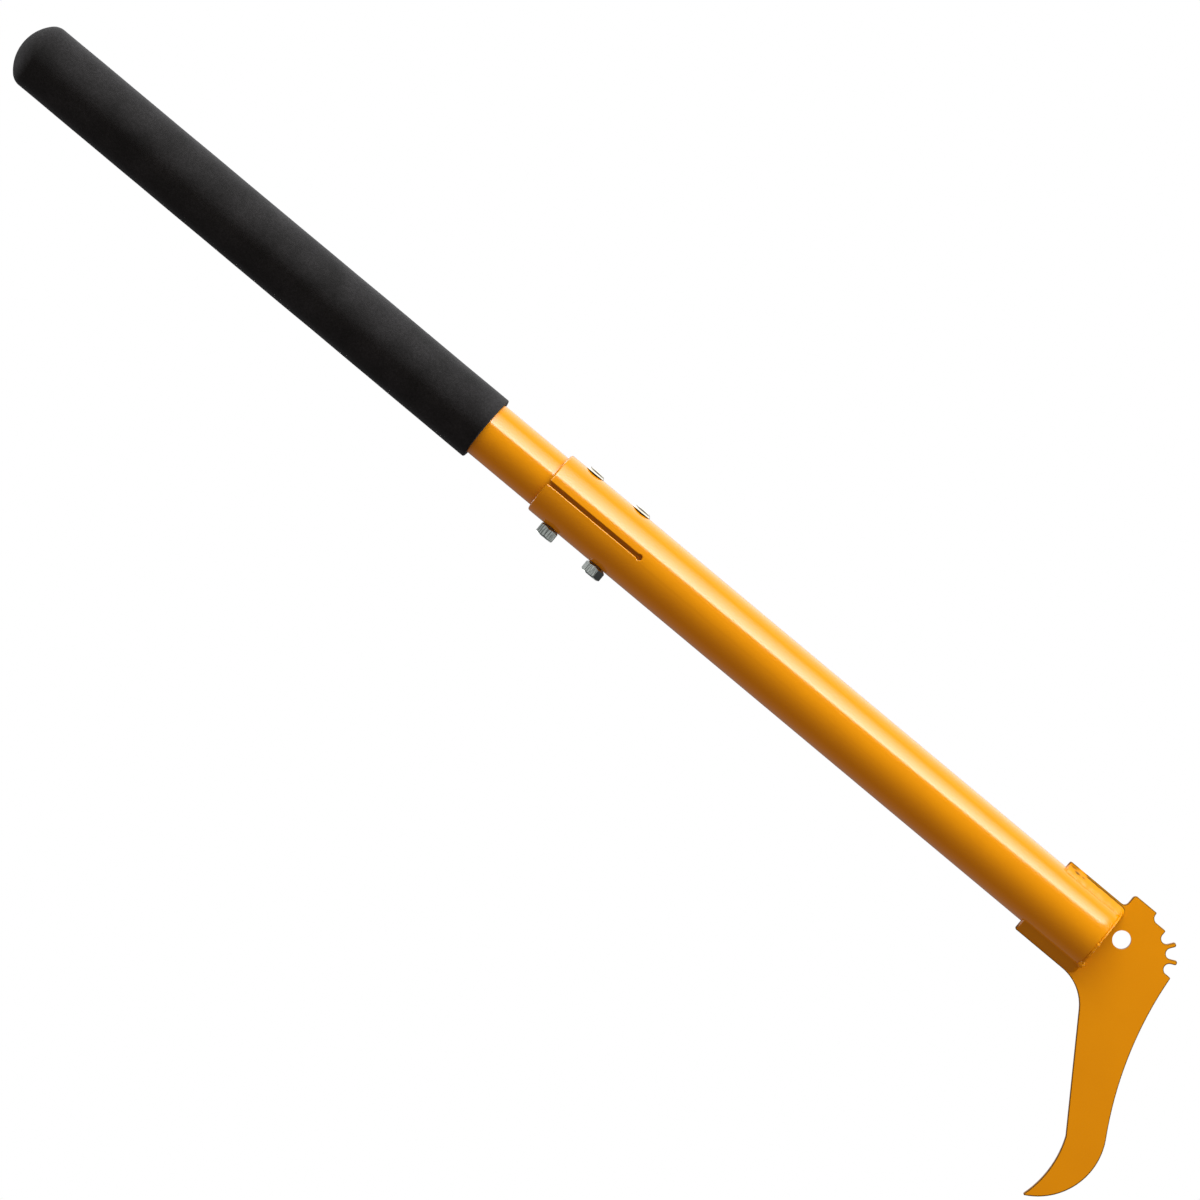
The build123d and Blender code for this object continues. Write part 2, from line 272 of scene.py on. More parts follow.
def grip_shell(size):
    """Foam sleeve turned about the handle's axis.

    The profile runs from the dome's pole over a cap arc and a shoulder arc, along the side, round the front
    edge, into the bore and up to the end wall's inner pole. Each point goes round the axis by an angle. The
    outside radius swells by a sum of four slow waves in length and angle, because foam is never quite round.
    """
    back, front = grip_lo.x, grip_hi.x
    bore = upper_r + size.play
    dome_x = back + size.dome
    rise = grip_r - size.shoulder
    cap_r = (size.dome ** 2 + rise ** 2 - size.shoulder ** 2) / (2 * (size.dome - size.shoulder))
    cap_deg = float(np.degrees(np.arctan2(rise, cap_r - size.dome)))
    inner = back + size.end_wall
    last_ring = 0.1
    outside = [
        arc(back + cap_r, 0, cap_r, 180, 180 - cap_deg, 16),
        arc(dome_x, rise, size.shoulder, 180 - cap_deg, 90, 18),
        run(dome_x, grip_r, front - size.edge, grip_r, 150),
        arc(front - size.edge, grip_r - size.edge, size.edge, 90, 0, 12),
    ]
    inside = [
        run(front, grip_r - size.edge, front, bore + size.mouth, 4),
        arc(front - size.mouth, bore + size.mouth, size.mouth, 0, -90, 6),
        run(front - size.mouth, bore, inner, bore, 24),
        run(inner, bore, inner, bore * last_ring, 4),
    ]
    profile = np.vstack(outside + inside)
    swelling = np.arange(len(profile)) < sum(len(part) for part in outside)
    x = profile[:, 0][:, None]
    angle = np.linspace(0, TURN, 160, endpoint=False)[None, :]
    # Waves: length along the grip in mm, folds round it, and where each starts
    waves = ((61, 2, 0.3), (97, 3, 1.9), (148, 1, 4.0), (37, 4, 2.6))
    swell = sum(np.sin(TURN * x / (span * MM) + fold * angle + start) for span, fold, start in waves)
    radius = profile[:, 1][:, None] + swelling[:, None] * size.swell / len(waves) * swell
    rings = np.stack([x + 0 * angle, axis_y + radius * np.cos(angle), radius * np.sin(angle)], -1)
    return rings, np.array([[back, axis_y, 0], [inner, axis_y, 0]]), 0.0


def weld_shell(size, side, face, box, lumpy, pits, band, seed):
    """Fillet of weld metal in the corner between the tube's outside and the tang's face.

    Across the bead, the face is the straight line from the tube toe to the tang toe plus a parabola for its
    crown. Along it, the toes wander and the face gains lumps (seeded bell shapes) and ripples, which are a
    cosine of the distance along the bead, bowed across it. Pits are bells pressed in, where the coat is
    darkened with painted shade, as it is in a band beside the tang toe, given by where it starts across
    and along the bead and how dark it is. The loop closes through a root sunk in the steel. At both ends the
    section shrinks towards the root as a quarter of an ellipse.
    """
    toe_spans_mm, foot_spans_mm = (5.3, 8.9, 14.7), (4.1, 7.7, 12.3)
    foot_wander = 0.5
    ripple_bow, ripple_drift = 1.6 * MM, 1.1 * MM
    lumps, lump_across = 16, 0.32
    lump_places, lump_spreads_mm, lump_heights = (0.1, 0.9), (1.5, 4.2), (-0.7, 1.0)
    fade_across, fade_along = 0.1, 0.05
    root_inset = 1.2 * MM

    rng = np.random.default_rng(seed)
    lo, hi = box
    start, end = lo.x, hi.x
    x = np.linspace(start, end, 260)
    column = x[:, None]
    across = np.linspace(0, 1, 30)[None, :]
    shrink = quarter_ellipse(np.minimum((x - start) / size.rear_ease, (end - x) / size.front_ease))
    toe_wave, foot_wave = (
        sum(np.sin(TURN * x / (span * MM) + rng.uniform(0, TURN)) for span in spans) / len(spans)
        for spans in (toe_spans_mm, foot_spans_mm))
    toe_z = half_plate + size.leg + size.wander * lumpy * toe_wave
    toe_y = np.sqrt(lower_r ** 2 - toe_z ** 2)
    edge = max(abs(lo.y - axis_y), abs(hi.y - axis_y))
    foot_y = edge - size.inset + size.wander * lumpy * foot_wander * foot_wave
    chord_y = (foot_y - toe_y)[:, None]
    chord_z = (half_plate - toe_z)[:, None]
    reach = np.hypot(chord_y, chord_z)

    hump = 4 * across * (1 - across)
    bowed = column + ripple_bow * (2 * across - 1) ** 2 + ripple_drift * toe_wave[:, None]
    rise = size.crown * hump + lumpy * size.ripple * hump * np.cos(TURN * bowed / size.ripple_pitch)
    for _ in range(lumps):
        spot_x, spot_v = rng.uniform(start, end), rng.uniform(*lump_places)
        spread = rng.uniform(*lump_spreads_mm) * MM
        height = rng.uniform(*lump_heights) * size.lump * lumpy
        rise = rise + height * hump * bell(column - spot_x, across - spot_v, spread, lump_across)
    along = (column - start) / (end - start)
    band_across, band_along, band_shade = band
    shade_level = band_shade * np.clip((across - band_across) / fade_across, 0, 1)
    shade_level = shade_level * np.clip((along - band_along) / fade_along, 0, 1)
    for along_mm, spot_v, spread_mm, spread_v, depth_mm, pit_shade in pits:
        pit = bell(column - start - along_mm * MM, across - spot_v, spread_mm * MM, spread_v)
        rise = rise - depth_mm * MM * pit
        shade_level = np.maximum(shade_level, pit_shade * pit)

    face_y = toe_y[:, None] + chord_y * across - chord_z / reach * rise
    face_z = toe_z[:, None] + chord_z * across + chord_y / reach * rise
    root_y = np.sqrt(lower_r ** 2 - half_plate ** 2)
    sunk = (lower_r - size.sink) / lower_r
    floor_z = np.full_like(x, half_plate - size.sink)
    hidden_y = np.stack([foot_y, np.full_like(x, root_y - root_inset), toe_y * sunk], -1)
    hidden_z = np.stack([floor_z, floor_z, toe_z * sunk], -1)
    loop_y = root_y + (np.hstack([face_y, hidden_y]) - root_y) * shrink[:, None]
    loop_z = half_plate + (np.hstack([face_z, hidden_z]) - half_plate) * shrink[:, None]
    rings = np.stack([column + 0 * loop_y, axis_y + side * loop_y, face * loop_z], -1)
    ends = np.array([[place, axis_y + side * root_y, face * half_plate] for place in (start, end)])
    return rings, ends, np.hstack([shade_level, np.zeros(hidden_y.shape)])


def spatter_shell(centre, radii, seed):
    """A drop of weld spatter: a ball whose radius gains three slow seeded waves, stretched by its radii."""
    uneven = 0.08
    rng = np.random.default_rng(seed)
    polar = np.linspace(0, np.pi, 26)[1:-1, None]
    angle = np.linspace(0, TURN, 36, endpoint=False)[None, :]
    wave = sum(np.sin(fold * angle + rng.uniform(0, TURN)) * np.sin(polar) ** 2 for fold in (1, 2, 3))
    grow = 1 + uneven * wave
    ball = np.stack([grow * np.cos(polar) + 0 * angle, grow * np.sin(polar) * np.cos(angle),
                     grow * np.sin(polar) * np.sin(angle)], -1)
    ends = np.array([[1, 0, 0], [-1, 0, 0]])
    return np.array(centre) + ball * radii, np.array(centre) + ends * radii, 0.0


def rim_drops(size, face, seed):
    """Drops of weld on the tube's front rim, on one face of the plate, each set a little into the rim.

    Drops of one size share a seed.
    """
    inset = 0.45 * MM
    reach = lower_r - inset
    shells = []
    for deg, grow in RIM_DROPS:
        turn = np.radians(deg)
        centre = (lower_hi.x, axis_y + reach * np.cos(turn), face * reach * np.sin(turn))
        shells.append(spatter_shell(centre, grow * size.spatter * DROP_SHAPE, seed + int(100 * grow)))
    return shells


def rim_shell(size, face, from_deg, to_deg, seed):
    """Lip of coat and weld metal on the tube's front rim, on one face of the plate.

    A round section is carried along an arc about the handle's axis, by the angle from +Y. Its radius gains
    three seeded waves along the arc, and is drawn in at both ends as a quarter of an ellipse.
    """
    uneven, end_share = 0.22, 0.06
    folds = (11, 19, 31)
    rng = np.random.default_rng(seed)
    share = np.linspace(0, 1, 120)[:, None]
    angle = np.radians(from_deg + (to_deg - from_deg) * share)
    around = np.linspace(0, TURN, 24, endpoint=False)[None, :]
    waves = sum(np.sin(fold * angle + rng.uniform(0, TURN)) for fold in folds) / len(folds)
    thick = size.lip * (1 + uneven * waves) * quarter_ellipse(np.minimum(share, 1 - share) / end_share)
    middle = lower_r - size.lip_inset
    reach = middle + thick * np.cos(around)
    x = lower_hi.x + thick * np.sin(around)
    rings = np.stack([x, axis_y + reach * np.cos(angle), face * reach * np.sin(angle)], -1)
    tips = [[lower_hi.x, axis_y + middle * np.cos(turn), face * middle * np.sin(turn)]
            for turn in np.radians((from_deg, to_deg))]
    return rings, np.array(tips), 0.0


def nut_shell(size, node):
    """Hex nut about an axis along Y, as a closed loop of profile points taken round the axis.

    The side's radius is the softened smaller of two shapes: a hexagon, whose radius is its half width over
    the cosine of the angle from the nearest flat, and the two 30 degree chamfer cones. The end faces run
    in to the bore, which is eased by a small countersink.
    """
    sharp = 90
    lo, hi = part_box(node)
    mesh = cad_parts[node].data
    points = np.empty(3 * len(mesh.vertices))
    mesh.vertices.foreach_get("co", points)
    points = points.reshape(-1, 3)
    centre_x = (lo.x + hi.x) / 2
    spread = np.hypot(points[:, 0] - centre_x, points[:, 2])
    corner = points[spread.argmax()]
    corner_angle = np.arctan2(corner[2], corner[0] - centre_x)
    half_flat = spread.max() * np.cos(np.pi / 6)
    bore = spread.min()
    angle = np.linspace(0, TURN, 252, endpoint=False)[None, :]
    from_flat = [np.clip(np.cos(angle - corner_angle - np.pi / 6 - k * np.pi / 3), 0, 1) for k in range(6)]
    hexagon = half_flat / sum(c ** sharp for c in from_flat) ** (1 / sharp)
    # Rows of points up the side, closer together where the chamfers are
    depth = np.concatenate([np.linspace(0, 1.3, 22), np.linspace(1.4, 4.3, 12), np.linspace(4.4, 5.7, 22)])
    y = lo.y + (hi.y - lo.y) * (depth / depth.max())[:, None]
    from_end = np.minimum(y - lo.y, hi.y - y)
    cone = size.face + from_end / np.tan(np.pi / 6)
    side = -size.soften * np.logaddexp(-hexagon / size.soften, -cone / size.soften)
    share = np.linspace(0, 1, 7)[1:-1, None]
    mouth = bore + size.mouth
    mouth_ring = mouth + 0 * angle
    inner_face = mouth + (side[:1] - mouth) * share
    outer_face = mouth + (side[-1:] - mouth) * share[::-1]
    bore_y = np.array([hi.y - size.mouth, (lo.y + hi.y) / 2, lo.y + size.mouth])[:, None]
    bore_rings = bore + 0 * bore_y * angle
    radius = np.vstack([side, outer_face, mouth_ring, bore_rings, mouth_ring, inner_face])
    face_rows = len(share) + 1
    rows_y = np.vstack([y, np.full((face_rows, 1), hi.y), bore_y, np.full((face_rows, 1), lo.y)])
    rings = np.stack([centre_x + radius * np.cos(angle), rows_y + 0 * angle, radius * np.sin(angle)], -1)
    return rings, None, 0.0


def plate_rim_shade(tree, place):
    """Mask of the rounded rims of the plate's cut edges: 1 where the surface leans between face and edge.

    The colour it sets is partly the coat drawn thin over the edges and partly painted shade. A stretch of
    the tang's rim near its rear is left out on the spine side, where the rim is lit. How flat a point lies
    is the size of its normal's Z, 1 on the faces and 0 on the cut edges.
    """
    face_flat, below_face = 0.998, 0.93
    edge_flat, above_edge = 0.1, 0.35
    # Stretch near the tang's rear where the rim is lit, so the painted shade is left out there
    lit_from, lit_to = plate_lo.x + 6.5 * MM, plate_lo.x + 8 * MM
    fade_behind, fade_ahead = 2 * MM, 3 * MM
    turned = add(tree, "SeparateXYZ", {"Vector": place.outputs["Normal"]})
    flat = add(tree, "Math", {0: turned.outputs["Z"]}, operation="ABSOLUTE")
    off_face = add(tree, "MapRange", {"Value": flat, "From Min": face_flat, "From Max": below_face})
    off_edge = add(tree, "MapRange", {"Value": flat, "From Min": edge_flat, "From Max": above_edge})
    rim = add(tree, "Math", {0: off_face, 1: off_edge}, operation="MULTIPLY")
    spot = add(tree, "SeparateXYZ", {"Vector": place.outputs["Object"]})
    ahead = add(tree, "MapRange", {"Value": spot.outputs["X"], "From Min": lit_to,
                                   "From Max": lit_to + fade_ahead})
    behind = add(tree, "MapRange", {"Value": spot.outputs["X"], "From Min": lit_from,
                                    "From Max": lit_from - fade_behind})
    either = add(tree, "Math", {0: ahead, 1: behind}, operation="MAXIMUM")
    throat = add(tree, "MapRange", {"Value": spot.outputs["Y"], "From Min": axis_y + lower_r,
                                    "From Max": axis_y})
    clear = add(tree, "Math", {0: either, 1: throat}, operation="MAXIMUM")
    return add(tree, "Math", {0: rim, 1: clear}, operation="MULTIPLY").outputs[0]


def rolled_end(tree, place):
    """Height of the lower tube's front end, in metres, which rolls in over its last few millimetres.

    It falls as the square of the distance past where the roll starts.
    """
    roll_length = 6 * MM
    roll_start = lower_hi.x - roll_length
    end_slope = 0.08
    spot = add(tree, "SeparateXYZ", {"Vector": place.outputs["Object"]})
    past = add(tree, "Math", {0: spot.outputs["X"], 1: roll_start}, operation="SUBTRACT")
    inside = add(tree, "Math", {0: past, 1: 0.0}, operation="MAXIMUM")
    square = add(tree, "Math", {0: inside, 1: inside}, operation="MULTIPLY")
    fall = -end_slope / (2 * roll_length)
    return add(tree, "Math", {0: square, 1: fall}, operation="MULTIPLY").outputs[0]


def tube_cut_shade(tree, place):
    """Mask of painted shade: on the walls of slits and holes in a tube, and under bolt heads and nuts.

    A wall faces along neither radius nor axis, so the sizes of its normal's parts along both are small. The
    shade under a head or nut is within a head's radius of a bolt's line, on the lower tube's outside.
    """
    most_outward, wall_outward = 0.5, 0.2
    most_lengthwise, wall_lengthwise = 0.9, 0.8
    # Painted shade under heads and nuts: where it starts, where it is full, and how dark it gets
    head_shade_edge, head_shade_full, head_shade_level = head_r + 0.1 * MM, head_r - 0.2 * MM, 0.4
    outside_r = upper_r + 1 * MM
    normal = place.outputs["Normal"]
    spot = add(tree, "VectorMath", {0: place.outputs["Object"], 1: (0, -axis_y, 0)}, operation="ADD")
    out = add(tree, "VectorMath", {0: spot, 1: (0, 1, 1)}, operation="MULTIPLY")
    radial = add(tree, "VectorMath", {0: out}, operation="NORMALIZE")
    facing = add(tree, "VectorMath", {0: radial, 1: normal}, operation="DOT_PRODUCT")
    ends = add(tree, "SeparateXYZ", {"Vector": normal})
    outward = add(tree, "Math", {0: facing.outputs["Value"]}, operation="ABSOLUTE")
    lengthwise = add(tree, "Math", {0: ends.outputs["X"]}, operation="ABSOLUTE")
    wall = add(tree, "MapRange", {"Value": outward, "From Min": most_outward, "From Max": wall_outward})
    side = add(tree, "MapRange", {"Value": lengthwise, "From Min": most_lengthwise,
                                  "From Max": wall_lengthwise})
    cut = add(tree, "Math", {0: wall, 1: side}, operation="MULTIPLY")
    across = add(tree, "VectorMath", {0: spot, 1: (1, 0, 1)}, operation="MULTIPLY")
    rear, front = (
        add(tree, "VectorMath", {0: across, 1: (x, 0, 0)}, operation="DISTANCE").outputs["Value"]
        for x in bolt_places)
    nearest = add(tree, "Math", {0: rear, 1: front}, operation="MINIMUM")
    under = add(tree, "MapRange", {"Value": nearest, "From Min": head_shade_edge, "From Max": head_shade_full,
                                   "To Max": head_shade_level})
    height = add(tree, "VectorMath", {0: out}, operation="LENGTH").outputs["Value"]
    outer = add(tree, "Math", {0: height, 1: outside_r}, operation="GREATER_THAN")
    head_shade = add(tree, "Math", {0: under, 1: outer}, operation="MULTIPLY")
    return add(tree, "Math", {0: cut, 1: head_shade}, operation="MAXIMUM").outputs[0]


def weld_shade(tree, place):
    """Mask of painted shade in the weld's pits and along its toes, stored with the mesh."""
    return add(tree, "Attribute", attribute_name="painted_shade").outputs["Fac"]


def finish_coat(name, finish, thin_and_shade_mask, thin_and_shade_colour, rough=0.14, specular=0.5, form=None):
    """Gloss polyester powder coat, sprayed and baked, over a height in metres where a form is given.

    To the eye: saturated orange-yellow with a clear highlight, faint orange peel about 2.5 mm across, a slow
    drift of tone where the coat lies thicker, and a dull darker colour where the mask paints shade, which on
    the plate's rims is partly the coat drawn thin.
    """
    drift_mm, peel_mm = 24, 2.5
    peel_depth = 0.001 * MM
    gloss_drift = 0.02
    thin_rough, thin_specular = 0.55, 0.1
    made, tree = blank_material(name)
    place = add(tree, "TexCoord")
    where = place.outputs["Object"]
    drift = add(tree, "TexNoise", {"Vector": where, "Scale": per_m(drift_mm), "Detail": 2.0})
    peel = add(tree, "TexNoise", {"Vector": where, "Scale": per_m(peel_mm), "Detail": 1.0})
    tone = add(tree, "Mix", {"Factor": drift, COLOUR_A: rgba(finish.coat),
                             COLOUR_B: rgba(finish.coat_thick)}, data_type="RGBA")
    # Where the coat is darkened: painted shade in cuts, weld pits and toes, and on the plate's rims partly
    # thin coat
    thin = thin_and_shade_mask(tree, place)
    colour = add(tree, "Mix", {"Factor": thin, COLOUR_A: tone.outputs[MIXED], COLOUR_B: rgba(thin_and_shade_colour)},
                 data_type="RGBA")
    gloss = add(tree, "MapRange", {"Value": drift, "To Min": rough - gloss_drift,
                                   "To Max": rough + gloss_drift})
    dull = add(tree, "MapRange", {"Value": thin, "To Min": gloss, "To Max": thin_rough})
    shine = add(tree, "MapRange", {"Value": thin, "To Min": specular, "To Max": thin_specular})
    relief = {"Height": peel, "Strength": 1.0, "Distance": peel_depth}
    if form is not None:
        relief["Normal"] = add(tree, "Bump", {"Height": form(tree, place), "Strength": 1.0, "Distance": 1.0})
    bump = add(tree, "Bump", relief)
    coat = add(tree, "BsdfPrincipled", {"Base Color": colour.outputs[MIXED], "Roughness": dull, "IOR": 1.5,
                                        "Specular IOR Level": shine, "Normal": bump})
    add(tree, "OutputMaterial", {"Surface": coat})
    return made


def finish_foam(name, finish):
    """Closed-cell nitrile foam with a skin from the mould.

    To the eye: soft matt black with hardly any shine, and fine open pores. The pores are about 0.3 mm on the
    real foam and are drawn 0.9 mm across, so that they show.
    """
    pore_mm, grain_mm, cloud_mm = 0.9, 1.4, 18
    pore_depth = 0.03 * MM
    made, tree = blank_material(name)
    where = add(tree, "TexCoord").outputs["Object"]
    pores = add(tree, "TexVoronoi", {"Vector": where, "Scale": per_m(pore_mm)}, feature="F1")
    grain = add(tree, "TexNoise", {"Vector": where, "Scale": per_m(grain_mm), "Detail": 3.0})
    cloud = add(tree, "TexNoise", {"Vector": where, "Scale": per_m(cloud_mm), "Detail": 2.0})
    blend = add(tree, "Math", {0: grain, 1: cloud}, operation="MULTIPLY")
    shade = add(tree, "MapRange", {"Value": blend, "From Min": 0.1, "From Max": 0.4})
    tone = add(tree, "Mix", {"Factor": shade, COLOUR_A: rgba(finish.foam_pore), COLOUR_B: rgba(finish.foam)},
               data_type="RGBA")
    height = add(tree, "Math", {0: pores, 1: grain}, operation="ADD")
    bump = add(tree, "Bump", {"Height": height, "Strength": 1.0, "Distance": pore_depth})
    skin = add(tree, "BsdfPrincipled", {"Base Color": tone.outputs[MIXED], "Roughness": 0.48,
                                        "Specular IOR Level": 0.035, "Normal": bump})
    add(tree, "OutputMaterial", {"Surface": skin})
    return made


def finish_zinc(name, clear, clouded, rough, line_depth):
    """Zinc plate on cold-headed steel, from bright to dull by its tones and its roughness.

    To the eye: pale grey metal with a satin gloss, cloudy duller patches a few millimetres across, and fine
    lines along the bolt, about 0.9 mm apart, from the drawn bar.
    """
    cloud_mm, line_mm = 3.5, 0.9
    line_stretch = (1, 0.12, 1)
    gloss_drift = 0.06
    made, tree = blank_material(name)
    where = add(tree, "TexCoord").outputs["Object"]
    cloud = add(tree, "TexNoise", {"Vector": where, "Scale": per_m(cloud_mm), "Detail": 3.0})
    drawn = add(tree, "Mapping", {"Vector": where, "Scale": line_stretch})
    fine = add(tree, "TexNoise", {"Vector": drawn, "Scale": per_m(line_mm), "Detail": 2.0})
    tone = add(tree, "Mix", {"Factor": cloud, COLOUR_A: rgba(clear), COLOUR_B: rgba(clouded)},
               data_type="RGBA")
    gloss = add(tree, "MapRange", {"Value": cloud, "To Min": rough - gloss_drift,
                                   "To Max": rough + gloss_drift})
    bump = add(tree, "Bump", {"Height": fine, "Strength": 1.0, "Distance": line_depth})
    plating = add(tree, "BsdfPrincipled", {"Base Color": tone.outputs[MIXED], "Roughness": gloss,
                                           "Metallic": 1.0, "Normal": bump})
    add(tree, "OutputMaterial", {"Surface": plating})
    return made


def dress(names, material):
    """Puts a material on CAD nodes."""
    for name in names:
        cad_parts[name].material_slots[0].material = material


# Groups of pieces that are dressed alike, and that some lamps are kept to or kept off
FOAM = ["grip_foam"]
BOLTS = ["clamp_bolt_rear", "clamp_bolt_front"]
NUTS = ["nut_hex_rear", "nut_hex_front"]
BEADS = ["bead_spine_top", "bead_spine_bottom", "bead_throat_top", "bead_throat_bottom"]

# Pits of the spine beads: place along the bead in mm and across it, spread in mm and across, depth in mm,
# and how dark the painted shade in the pit is
SPINE_PITS = (
    (3.2, 0.92, 2.4, 0.2, 0.35, 0.75),
    (6.2, 0.62, 1.7, 0.13, 0.4, 0.9),
    (10.0, 0.62, 1.1, 0.1, 0.3, 0.6),
)

# Beads: side of the tube, which way that is along Y, lumpiness, pits, the band of painted shade (start
# across, start along and how dark), and the ends of the rim's lip, in degrees from +Y. The throat beads'
# band covers them whole, as they lie in the tube's shadow
BEAD_RUNS = (
    ("spine", 1, 1.0, SPINE_PITS, (0.82, 0.27, 1.0), (11, 88)),
    ("throat", -1, 0.5, (), (0.0, 0.0, 0.2), (86, 160)),
)

# Drops of weld on the tube's front rim: angle from +Y in degrees, and size. All are a little flattened
RIM_DROPS = ((96, 1.0), (140, 1.1), (146, 2.1), (153, 1.4), (159, 1.0))
DROP_SHAPE = np.array([0.9, 1.0, 0.8])


class HOOKAROON_OT_steelwork(bpy.types.Operator):
    """Powder-coats the two tubes and the hook plate"""
    bl_idname = "hookaroon.steelwork"
    bl_label = "Coat tubes and plate"

    def execute(self, context):
        finish = context.scene.hookaroon.finish
        tube = finish_coat("gloss_powder_coat_tube", finish, tube_cut_shade, finish.coat_cut_shade, form=rolled_end)
        plate = finish_coat("gloss_powder_coat_plate", finish, plate_rim_shade, finish.coat_edge_shade)
        dress(["lower_tube", "upper_tube"], tube)
        dress(["hook_plate"], plate)
        return {"FINISHED"}


class HOOKAROON_OT_weld_beads(bpy.types.Operator):
    """Builds the four weld beads between the tang and the tube, with spatter on the tube's rim"""
    bl_idname = "hookaroon.weld_beads"
    bl_label = "Build weld beads"

    def execute(self, context):
        settings = context.scene.hookaroon
        size, finish = settings.weld, settings.finish
        coat = finish_coat("gloss_powder_coat_weld", finish, weld_shade, finish.coat_pit_shade, rough=0.35,
                           specular=0.25)
        seed = 11
        for edge, side, lumpy, pits, band, lip in BEAD_RUNS:
            for level, face in (("top", 1), ("bottom", -1)):
                node = "weld_" + edge + "_" + level
                shells = [weld_shell(size, side, face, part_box(node), lumpy, pits, band, seed),
                          rim_shell(size, face, *lip, seed)]
                if edge == "throat":
                    shells += rim_drops(size, face, seed)
                bead = write_skin("bead_" + edge + "_" + level, shells, "head")
                bead.data.materials.append(coat)
                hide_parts(node)
                seed += 1
        return {"FINISHED"}


class HOOKAROON_OT_foam_grip(bpy.types.Operator):
    """Builds the foam grip"""
    bl_idname = "hookaroon.foam_grip"
    bl_label = "Build foam grip"

    def execute(self, context):
        settings = context.scene.hookaroon
        grip = write_skin("grip_foam", [grip_shell(settings.grip)], "handle")
        grip.data.materials.append(finish_foam("nitrile_foam", settings.finish))
        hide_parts("foam_grip")
        return {"FINISHED"}


class HOOKAROON_OT_fasteners(bpy.types.Operator):
    """Zinc-plates the clamp's bolts and builds its nuts"""
    bl_idname = "hookaroon.fasteners"
    bl_label = "Build bolts and nuts"

    def execute(self, context):
        settings = context.scene.hookaroon
        finish = settings.finish
        bright = finish_zinc("bright_zinc_plate", finish.zinc, finish.zinc_cloud, rough=0.12,
                             line_depth=0.06 * MM)
        # Rougher zinc whose darker colour is painted shade on the bolts
        dull = finish_zinc("shaded_zinc_plate", finish.zinc_shaded, finish.zinc_shaded_cloud, rough=0.18,
                           line_depth=0.0015 * MM)
        dress(BOLTS, dull)
        for place in ("rear", "front"):
            node = "clamp_nut_" + place
            nut = write_skin("nut_hex_" + place, [nut_shell(settings.nut, node)], "nut_" + place)
            nut.data.materials.append(bright)
            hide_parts(node)
        return {"FINISHED"}


def aim(obj, place, target, right):
    """Stands an object at a place, its -Z axis at the target and its X axis as near to right as it can."""
    back = (Vector(place) - Vector(target)).normalized()
    across = Vector(right)
    across = (across - back * across.dot(back)).normalized()
    upward = back.cross(across)
    turned = Matrix((across, upward, back)).transposed().to_4x4()
    obj.matrix_world = Matrix.Translation(place) @ turned


def over_handle(x, lean_deg, distance=1.2):
    """Point at a distance from the handle's axis, leaning from straight up towards +Y."""
    lean = np.radians(lean_deg)
    return Vector((x, axis_y + distance * np.sin(lean), distance * np.cos(lean)))


def soft_light(name, ends, breadth, target_x, radiance, colour):
    """Flat even lamp between two end points, turned to the handle, which isn't mirrored in anything.

    Its power is radiance times pi times area, which is how a flat lamp's power follows from its brightness.
    """
    start, end = (Vector(place) for place in ends)
    data = bpy.data.lights.new(name, "AREA")
    data.shape = "RECTANGLE"
    data.size = (end - start).length
    data.size_y = breadth
    data.energy = radiance * np.pi * data.size * data.size_y
    data.color = colour
    lamp = new_object(name, data)
    aim(lamp, (start + end) / 2, (target_x, axis_y, 0), end - start)
    lamp.visible_camera = False
    lamp.visible_glossy = False
    return lamp


def glow_card(name, points, glow, power, colour, sampling="AUTO"):
    """Glowing clear sheet on a grid of points, seen only in reflections. Its glow is stored with its points.

    It is clear, so that it adds its glow to what lies behind it and hides no other card.
    """
    rows, columns = points.shape[:2]
    cell = np.arange(rows - 1)[:, None] * columns + np.arange(columns - 1)
    faces = np.stack([cell, cell + 1, cell + columns + 1, cell + columns], -1).reshape(-1, 4)
    mesh = bpy.data.meshes.new(name)
    mesh.from_pydata(points.reshape(-1, 3), [], faces.tolist())
    glow = np.broadcast_to(glow, (rows, columns)).reshape(-1)
    mesh.attributes.new("glow", "FLOAT", "POINT").data.foreach_set("value", glow)
    material, tree = blank_material(name)
    level = add(tree, "Attribute", attribute_name="glow").outputs["Fac"]
    strength = add(tree, "Math", {0: level, 1: power}, operation="MULTIPLY")
    lit = add(tree, "Emission", {"Color": rgba(colour), "Strength": strength})
    sheet = add(tree, "AddShader", {0: lit, 1: add(tree, "BsdfTransparent")})
    add(tree, "OutputMaterial", {"Surface": sheet})
    material.cycles.emission_sampling = sampling
    mesh.materials.append(material)
    card = new_object(name, mesh)
    card.visible_camera = False
    card.visible_diffuse = False
    card.visible_transmission = False
    card.visible_shadow = False
    return card


def link_light(lamp, names, state, through=()):
    """Lets a lamp or card light only the objects named, or all but them, and shine through some others."""
    for kind, listed, how in (("receiver", names, state), ("blocker", through, "EXCLUDE")):
        if not listed:
            continue
        group = bpy.data.collections.new(lamp.name + "_" + kind)
        for name in listed:
            group.objects.link(bpy.data.objects[name])
        setattr(lamp.light_linking, kind + "_collection", group)
        for entry in group.collection_objects:
            entry.light_linking.link_state = how


def level_at(deg, table):
    """Level at an angle, on straight lines between the table's pairs of angle and level."""
    return np.interp(deg, *np.transpose(table))


# Glow of the card round the clamp: angle from straight up towards the hook in degrees, and level
NUT_TONES = (
    (-160, 0.0), (-142, 0.0), (-138, 0.6), (-133, 0.0), (-128, 0.4), (-124, 0.0), (-92, 0.05), (-77, 0.05),
    (-72, 1.0), (-66, 0.0), (-60, 0.7), (-54, 0.0), (-24, 0.0), (-18, 0.9), (-13, 0.0), (-7, 0.6), (-1, 0.0),
    (45, 0.0), (50, 1.0), (55, 0.0), (61, 0.7), (66, 0.0), (90, 0.0),
)

